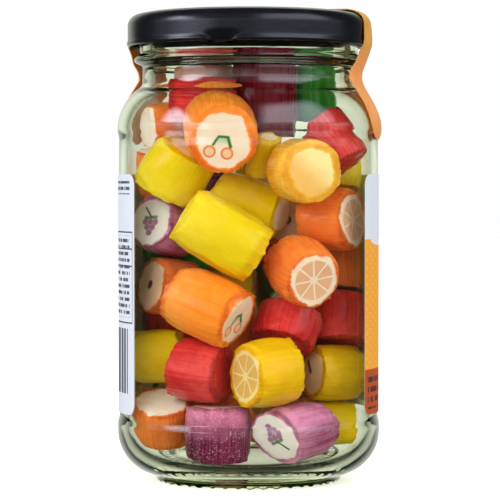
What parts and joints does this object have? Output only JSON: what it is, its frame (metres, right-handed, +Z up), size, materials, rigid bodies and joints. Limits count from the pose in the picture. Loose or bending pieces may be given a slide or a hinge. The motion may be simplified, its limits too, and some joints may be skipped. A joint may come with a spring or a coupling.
{
  "type": "glass jar of rock candy",
  "caption": "Round screw-top glass jar filled with chunky cut rock candy, with a wrap-round paper label and a paper seal strip over its black metal lid.",
  "frame": {"origin": "centre of the foot ring, on the surface that the jar stands on", "axes": "+Z up along the jar's axis, -Y towards the gap in the label where the sweets show, +X to the right of that"},
  "size_m": [0.072, 0.0716, 0.1279],
  "materials": {
    "glass": "clear with a faint green tint, green where it is thick",
    "candy": "satin boiled sugar in orange, yellow, red, purple, green and white",
    "lid": "gloss black lacquer",
    "label": "printed satin paper",
    "seal": "printed satin paper"
  },
  "bodies": {
    "root": {"jar_glass": "glass", "candy_heap": "candy", "lid": "lid", "label": "label", "seal_strip": "seal"}
  },
  "joints": []
}
